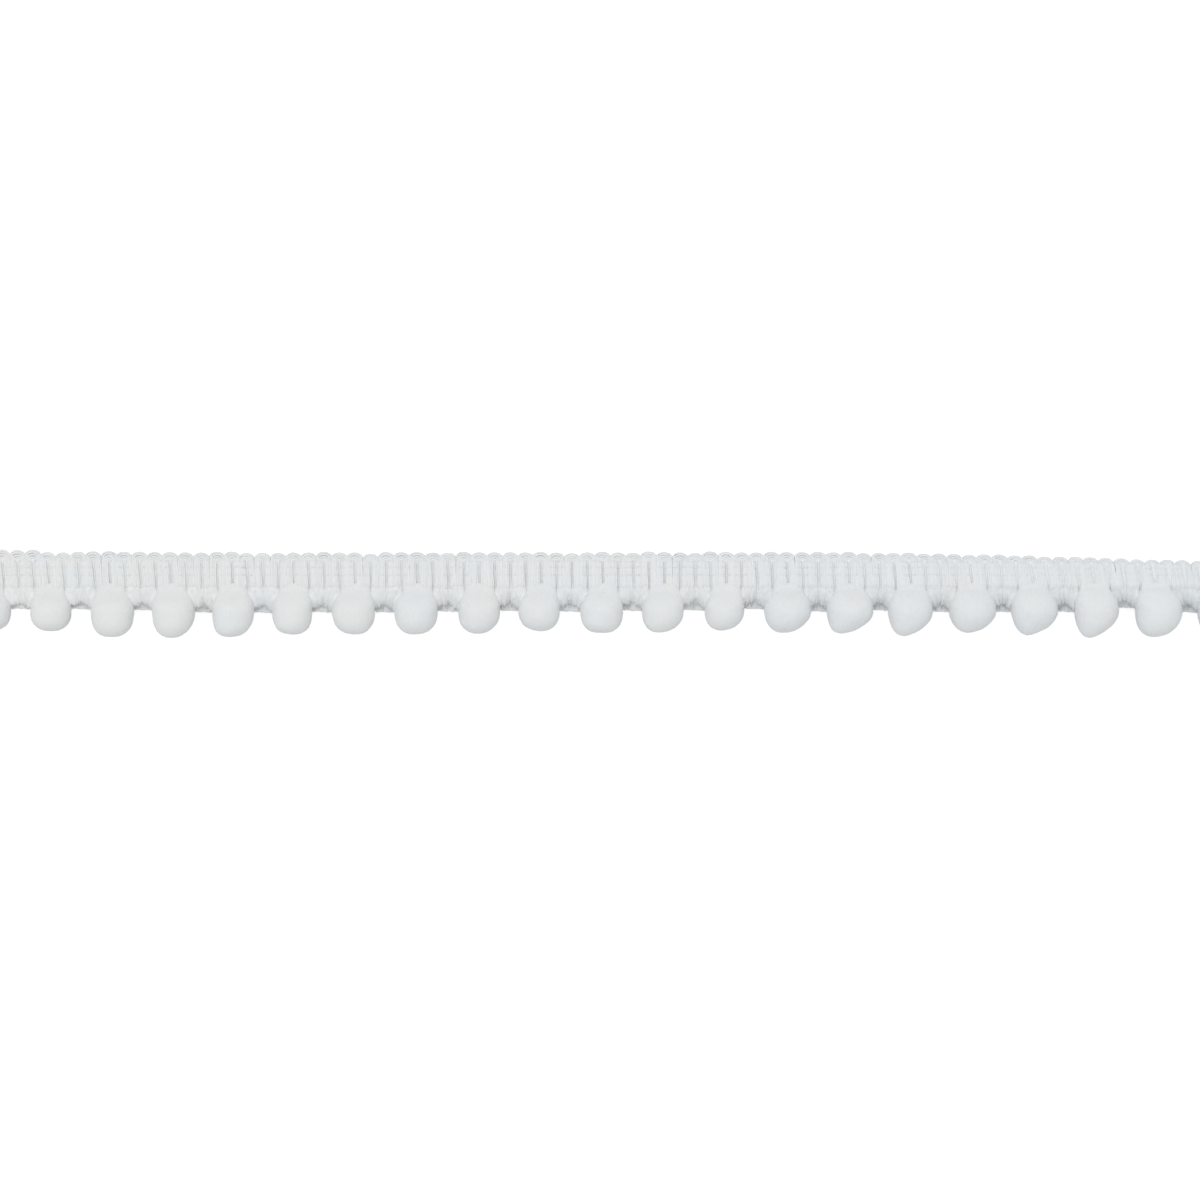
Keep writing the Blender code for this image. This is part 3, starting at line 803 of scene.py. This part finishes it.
def pompomRings(size):
    # from the roots through the neck to the widest ring, and on to the closed tip
    halfHeight = ball["heightShare"] * size["halfWidth"]
    roll = float(lie("roll deg", size["roots"]))
    rings = []
    for share in np.linspace(0, 1, ball["neckRings"]):
        below = mix(ball["start"], ball["widest"], share)
        swell = swellTo(below, ball["widest"])
        x, halfWidth = ballSide(size, below)
        neck = layOn(size["roots"], -min(below, ball["neckEnd"]), 0.0)
        rings.append(pompomRing(
            (x, -below * mix(np.cos(roll), 1.0, swell), mix(neck[2], halfHeight, swell)),
            halfWidth,
            mix(ball["neckHalfHeight"], halfHeight, swell),
            mix(*ball["squareness"], swell),
            mix(roll, 0.0, swell),
            ribbed=1 - ease(below / ball["ribbedEnd"]),
            joined=ease(below / ball["joinedEnd"]),
            under=ball["under"] * (1 - ease(below / ball["outEnd"])),
        ))
    for turn in np.linspace(0, 0.5 * np.pi, ball["ballRings"])[1:]:
        share = np.sin(turn)
        closing = max(1 - share ** size["fullness"], 0.0) ** (1 / size["fullness"])
        middle = (
            size["middle"] + size["tip"] * share ** 2,
            mix(-ball["widest"], -size["hang"], share),
            halfHeight,
        )
        rings.append(pompomRing(middle, size["halfWidth"] * closing, halfHeight * closing))
    return np.array(rings)


def softenBall(piece):
    # lumps in the pile, a flat spot on the floor, where fibres stand and lie, and painted shade from
    # its roots to its tip
    mesh = piece.data
    places = np.array([vertex.co for vertex in mesh.vertices])
    normals = np.array([vertex.normal for vertex in mesh.vertices])
    lumps = np.array([noise.noise(Vector(place) / ball["lumpSize"]) for place in places])
    places += normals * (ball["lump"] * lumps)[:, None]
    flat = ball["flatSpot"]
    low = np.clip(places[:, 2] / flat, 0, 1)
    places[:, 2] = np.where(places[:, 2] < flat, flat * low ** 2, places[:, 2])
    mesh.vertices.foreach_set("co", places.ravel())
    mesh.update()
    share = ease((places[:, 2] - flat) / ball["pileGround"])
    below = trim["rootMiddle"][1] - places[:, 1]
    pileStart, pileFull = ball["pilePlaces"]
    share *= ease((below - pileStart) / (pileFull - pileStart))
    keepNumbers(mesh, "fibreShare", share)
    # painted shade: darker near the roots and over the body, lighter towards the tip; the pile on the
    # balls takes it too
    keepNumbers(mesh, "yarnShade", np.interp(below, ball["paintedShadePlaces"], ball["shades"]))
    down = np.array((0.0, -1.0, 0.0))
    flow = down - normals * (normals @ down)[:, None]
    flow *= mix(*ball["pileLies"], ease(below / ball["liesEnd"]))[:, None]
    keepVectors(mesh, "fibreFlow", flow)


pompoms = [pompom(index) for index in range(trim["pompoms"])]
balls, piles = [], []
perGroup = trim["pompoms"] // ball["groups"]
for group in range(ball["groups"]):
    members = pompoms[group * perGroup:(group + 1) * perGroup]
    bodies = [pompomRings(size) + trim["rootMiddle"] for size in members]
    piece = loft(f"pompoms_{group + 1}", bodies, pileWhite)
    softenBall(piece)
    balls.append(piece)
    seed = ball["seed"] + group
    piles.append(makeFibres(f"pompomPile_{group + 1}", piece, pile, pileWhite, seed))
print("pompoms made")

# tufts: the two ribs between pompoms run on, brushed out soft, over a thin web
tuft = {
    "columns": 46,
    "rowsAbove": 2,
    "rowsBelow": 13,
    "above": 0.10 * mm,  # it starts this far up under the braid's strands
    "under": 0.12 * mm,  # and this far under their face
    "outEnd": 0.80 * mm,  # where it has come out to it
    "tuck": 0.25 * mm,  # how far it runs into the pompoms' sides
    "tucked": 0.076,  # and how much of its width that takes at each side
    "thick": 0.42 * mm,
    "endThick": 0.3,  # how much of that its end has, and how fast it gains the rest
    "thicken": 1.4,
    "fill": (0.30 * mm, 1.40 * mm),  # where its grooves start to fill, and have filled
    "fillWide": 0.10,  # how much of its width fills as its sides do
    "middleFill": 0.45,
    "sideFill": 0.70,
    "rise": 0.45 * mm,  # how far it climbs a pompom's side, over what width and where
    "riseWide": 0.40 * mm,
    "risePlaces": (0.90 * mm, 1.90 * mm),
    "endHeights": (1.65 * mm, 1.50 * mm),  # how high over the floor its two ribs end
    "endPlaces": (0.4, 0.7),
    "farRaise": 0.60 * mm,  # and how much higher at the +x end
    "droop": 2.7,
    "longer": 0.09,  # how much further it reaches where the web is shallow
    "reachMost": 0.96,
    "ragged": 0.10 * mm,
    "bareRows": 2,  # rows below the root line that have no fibres
    "flow": (0.0, -1.0, -0.25),
    "brushed": {
        "Density": 4.2e7, "Fibre Length": 0.45 * mm, "Length Spread": 0.5,
        "Fibre Radius": 0.014 * mm, "Splay": 0.5, "Lay": 2.4,
    },
}
# how far down to the web's lip a tuft reaches, from one pompom's side (0) to the next one's (1)
tuftPlaces = (0.0, 0.25, 0.40, 0.50, 0.60, 0.80, 1.0)
tuftReach = (0.76, 0.76, 0.71, 0.68, 0.75, 0.87, 0.95)
# the web under the tufts is shallow at the -x end and deep from the middle on; towards the +x
# end, where the trim is rolled most, tufts and web lie higher again
deepPlaces = (-70 * mm, -35 * mm, -8 * mm)
deepShares = (0.0, 0.35, 1.0)
farPlaces = (15 * mm, 65 * mm)
web = {
    "columns": 13,
    "rows": 12,
    "start": 0.85 * mm,
    "tuck": 0.30 * mm,
    "shallow": (1.50 * mm, 1.52 * mm),  # its height at its start and at its lip
    "deep": (1.85 * mm, 1.25 * mm),
    "farRaise": (0.45 * mm, 0.20 * mm),
    "thick": 0.20 * mm,
    "sag": 0.06 * mm,
    "slant": 0.12 * mm,  # how much lower its lip hangs at its +x side
    "tilt": 0.30 * mm,  # and how much higher it lies there
    "ripple": 0.03 * mm,
    "bareRows": 2,  # rows at its lip that have no fibres
    "flow": (0.1, -1.0, 0.0),
    "fibres": {
        "Density": 2.6e7, "Fibre Length": 0.35 * mm, "Length Spread": 0.5,
        "Fibre Radius": 0.014 * mm, "Splay": 0.6, "Lay": 2.0,
    },
}
tails = {
    "count": 16,  # loose ends that hang from a tuft over the web
    "places": (0.06, 0.94),  # from one pompom's side to the next one's
    "radius": 0.035 * mm,
    "taper": 0.5,
    "points": 6,
    "sides": 4,
    "inTuft": 0.35 * mm,  # how far up inside the tuft they start
    "overEnd": 0.25 * mm,  # how high over the tuft's end
    "overLip": 0.08 * mm,  # and over the web's lip
    "drop": 1.2,  # how early they come down to it
    "reach": (0.35, 1.0),  # how much of the web they cover
    "sway": 0.05 * mm,
    "swayWaves": 0.7,
    "fluff": 0.2,
    "shades": (0.0, 0.4),
}


def deepShare(here):
    return float(np.interp(here["roots"], deepPlaces, deepShares))


def farShare(here):
    return float(np.interp(here["roots"], farPlaces, (0.0, 1.0)))


def tuftEnd(here, place):
    # how far below the root line a tuft ends, and how high over the floor
    reach = float(np.interp(place, tuftPlaces, tuftReach))
    reach = min(reach + tuft["longer"] * (1 - deepShare(here)), tuft["reachMost"])
    height = float(np.interp(place, tuft["endPlaces"], tuft["endHeights"]))
    return reach * here["bridge"], height + tuft["farRaise"] * farShare(here)


def webHeights(here):
    # the web's height at its start and at its lip
    heights = mix(np.array(web["shallow"]), np.array(web["deep"]), deepShare(here))
    return heights + farShare(here) * np.array(web["farRaise"])


def tuftFace(xEven, below, sideShare):
    # how far a tuft's face is out of the braid's middle plane
    fillStart, fillEnd = tuft["fill"]
    toSide = (min(sideShare, 1 - sideShare) - tuft["tucked"]) / tuft["fillWide"]
    sideFill = float(np.exp(-max(toSide, 0.0)))
    filled = ease((below - fillStart) / (fillEnd - fillStart))
    filled = filled * mix(tuft["middleFill"], tuft["sideFill"], sideFill)
    crown = mix(np.sqrt(np.sin(np.pi * ribPlace(xEven))), 1.0, filled)
    under = tuft["under"] * (1 - ease(below / tuft["outEnd"]))
    return trim["webFace"] + trim["ribCrown"] * crown - under


def tuftColumn(here, following, place):
    # a tuft's ring from the braid's strands down its face to its end and back underneath
    ribShare = np.clip((place - tuft["tucked"]) / (1 - 2 * tuft["tucked"]), 0, 1)
    xEven = mix(here["roots"] + trim["ribPitch"], following["roots"] - trim["ribPitch"],
                float(ribShare))
    end, endHeight = tuftEnd(here, place)
    end += chance.normal(0, tuft["ragged"])
    below = np.concatenate((
        np.linspace(-tuft["above"], 0, tuft["rowsAbove"], endpoint=False),
        end * np.linspace(0, 1, tuft["rowsBelow"]),
    ))
    ground = layOn(xEven, np.maximum(-below, 0), tuftFace(xEven, below, place))
    left, leftHalf = ballSide(here, below)
    right, rightHalf = ballSide(following, below)
    left, right = left + leftHalf - tuft["tuck"], right - rightHalf + tuft["tuck"]
    x = mix(left, right, place)
    aside = np.minimum(x - left, right - x) - tuft["tuck"]
    riseStart, riseEnd = tuft["risePlaces"]
    climb = tuft["rise"] * np.exp(-np.maximum(aside, 0) / tuft["riseWide"])
    climb = climb * ease((below - riseStart) / (riseEnd - riseStart))
    share = np.clip(below / end, 0, 1)
    y = np.where(below > 0, mix(ground[:, 1], -end, share), ground[:, 1])
    z = mix(ground[:, 2], endHeight, share ** tuft["droop"]) + climb
    face = np.stack((x, y, z), axis=-1)
    back = face[::-2].copy()  # half the rows will do underneath
    thick = np.minimum(1.0, tuft["endThick"] + tuft["thicken"] * (1 - share[::-2]))
    back[:, 2] -= tuft["thick"] * thick
    return np.concatenate((face, back))


def tuftRings(here, following):
    return np.array([tuftColumn(here, following, place)
                     for place in np.linspace(0, 1, tuft["columns"])])


def webRings(here, following):
    share = np.linspace(0, 1, web["rows"])
    rings = []
    for place in np.linspace(0, 1, web["columns"]):
        lip = here["bridge"] + web["slant"] * (place - 0.5) + chance.normal(0, web["ripple"])
        below = mix(web["start"], lip, share)
        left, leftHalf = ballSide(here, below)
        right, rightHalf = ballSide(following, below)
        x = mix(left + leftHalf - web["tuck"], right - rightHalf + web["tuck"], place)
        z = mix(*webHeights(here), share) + web["tilt"] * (place - 0.5)
        z = z - web["sag"] * np.sin(np.pi * place) * share
        top = np.stack((x, -below, z), axis=-1)
        low = top[::-1] - (0, 0, web["thick"])
        rings.append(np.concatenate((top, low)))
    return np.array(rings)


def tailStrand(here, following):
    # a loose end from inside a tuft down onto the web
    place = chance.uniform(*tails["places"])
    end, endHeight = tuftEnd(here, place)
    reach = mix(end, here["bridge"], chance.uniform(*tails["reach"]))
    share = np.linspace(0, 1, tails["points"])
    below = mix(end - tails["inTuft"], reach, share)
    left, leftHalf = ballSide(here, below)
    right, rightHalf = ballSide(following, below)
    x = mix(left + leftHalf, right - rightHalf, place)
    x = x + wander(tails["points"], tails["sway"], tails["swayWaves"])
    lip = webHeights(here)[1]
    z = mix(endHeight + tails["overEnd"], lip + tails["overLip"], ease(tails["drop"] * share))
    radii = tails["radius"] * (1 - tails["taper"] * share)
    return np.stack((x, -below, z), axis=-1), radii, chance.uniform(*tails["shades"])


def brush(piece, flow, bare, grown, ringPoints):
    # fibres on one stretch of each ring's points, all lying the same way
    count = len(piece.data.vertices)
    ring = np.zeros(ringPoints)
    ring[bare:grown] = 1.0
    keepNumbers(piece.data, "fibreShare", np.tile(ring, count // ringPoints))
    keepVectors(piece.data, "fibreFlow", np.tile(flow, count))


gaps = list(zip(pompoms, pompoms[1:]))
tufts = loft("tufts", [tuftRings(*gap) + trim["rootMiddle"] for gap in gaps], pileWhite)
faceRows = tuft["rowsAbove"] + tuft["rowsBelow"]
firstBrushed = tuft["rowsAbove"] + tuft["bareRows"]
brush(tufts, tuft["flow"], firstBrushed, faceRows, faceRows + (faceRows + 1) // 2)
tuftPile = makeFibres("tuftPile", tufts, tuft["brushed"], pileWhite, seed=31)
webs = loft("webs", [webRings(*gap) + trim["rootMiddle"] for gap in gaps], pileWhite)
brush(webs, web["flow"], 0, web["rows"] - web["bareRows"], 2 * web["rows"])
webPile = makeFibres("webPile", webs, web["fibres"], pileWhite, seed=41)
tailStrands = [tailStrand(*gap) for gap in gaps for _ in range(tails["count"])]
looseEnds = makeYarn("looseEnds", tailStrands, braidWhite, tails["sides"], tails["fluff"], seed=51)
print("tufts and webs made")

# every piece goes with the one body
braidPieces = (braidFront, braidBack, braidCore, braidStitches)
rowPieces = (*balls, *piles, tufts, tuftPile, webs, webPile, looseEnds)
for piece in (*braidPieces, *rowPieces):
    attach(piece, "root")
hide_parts("heading")
for piece in balls:
    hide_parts("pompom_row")

# studio
studio = {
    "floorSize": 3.0,
    "floorWhite": 0.64,
    "floorRoughness": 0.9,
    "floorGlow": 0.75,  # makes it plain white in the view
    "worldLight": 0.82,
    "keyPower": 3.1,
    "keySize": 0.60,
    "keyPlace": (-0.22, 0.56, 0.97),
    "lens": 100.0,
    "sensor": 36.0,
    "cameraPlace": (0.01 * mm, -0.832 * mm, 402.5 * mm),
    "cameraSees": (0.01, 10.0),  # from near to far
}


def makeFloor():
    half = 0.5 * studio["floorSize"]
    corners = ((-half, -half, 0), (half, -half, 0), (half, half, 0), (-half, half, 0))
    floor = newPiece("floor", corners, faces=((0, 1, 2, 3),))
    pale = bpy.data.materials.new("paleFloor")
    pale.use_nodes = True
    shader = pale.node_tree.nodes["Principled BSDF"]
    shader.inputs["Base Color"].default_value = (*[studio["floorWhite"]] * 3, 1.0)
    shader.inputs["Roughness"].default_value = studio["floorRoughness"]
    shader.inputs["Specular IOR Level"].default_value = 0.0
    shader.inputs["Emission Color"].default_value = (1.0, 1.0, 1.0, 1.0)
    seen = addNode(pale.node_tree, "ShaderNodeLightPath").outputs["Is Camera Ray"]
    glow = addMath(pale.node_tree, "MULTIPLY", seen, studio["floorGlow"])
    pale.node_tree.links.new(glow, shader.inputs["Emission Strength"])
    floor.data.materials.append(pale)


def makeLight():
    world = bpy.data.worlds.new("studioWorld")
    bpy.context.scene.world = world
    world.use_nodes = True
    background = world.node_tree.nodes["Background"]
    background.inputs["Color"].default_value = (1.0, 1.0, 1.0, 1.0)
    background.inputs["Strength"].default_value = studio["worldLight"]
    light = bpy.data.lights.new("softKey", "AREA")
    light.shape = "DISK"
    light.size = studio["keySize"]
    light.energy = studio["keyPower"]
    key = addToScene("softKey", light)
    key.location = studio["keyPlace"]
    key.rotation_euler = (-Vector(studio["keyPlace"])).to_track_quat("-Z", "Y").to_euler()


def makeCamera():
    lens = bpy.data.cameras.new("camera")
    lens.lens = studio["lens"]
    lens.sensor_width = studio["sensor"]
    lens.clip_start, lens.clip_end = studio["cameraSees"]
    camera = addToScene("camera", lens)
    camera.location = studio["cameraPlace"]  # straight above, with +y up in the view
    bpy.context.scene.camera = camera


makeFloor()
makeLight()
makeCamera()
bpy.context.scene.view_settings.view_transform = "Standard"
print("studio made")
